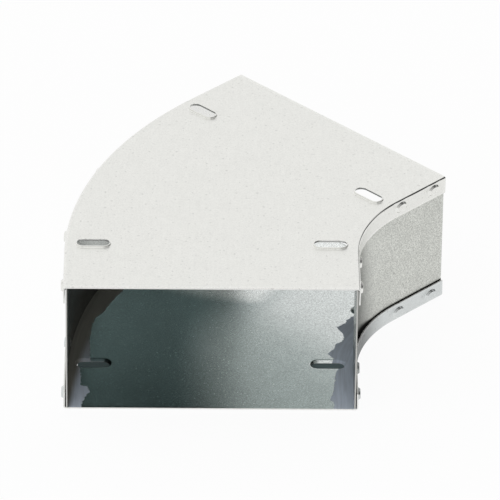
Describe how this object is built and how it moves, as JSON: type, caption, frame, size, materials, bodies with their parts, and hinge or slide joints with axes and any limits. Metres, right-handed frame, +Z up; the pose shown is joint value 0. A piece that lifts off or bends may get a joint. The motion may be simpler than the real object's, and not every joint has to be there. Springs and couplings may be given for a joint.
{
  "type": "cable tray bend",
  "caption": "Closed sheet-steel cable tray bend that turns a covered cable run through 45 degrees, with flanged plates press-joined to curved walls and plunged slots near both mouths.",
  "frame": {"origin": "middle of the footprint, on the surface that the bend rests on", "axes": "+Z up through the cover plate, +Y from the near mouth into the duct, and the bend turns towards +X"},
  "size_m": [0.271, 0.2988, 0.1016],
  "materials": {
    "plate_zinc": "bright galvanised sheet, faintly grained",
    "wall_zinc": "dull galvanised sheet, finely mottled"
  },
  "bodies": {
    "root": {"top_plate": "plate_zinc", "bottom_plate": "plate_zinc", "outer_wall": "wall_zinc", "inner_wall": "wall_zinc"}
  },
  "joints": []
}
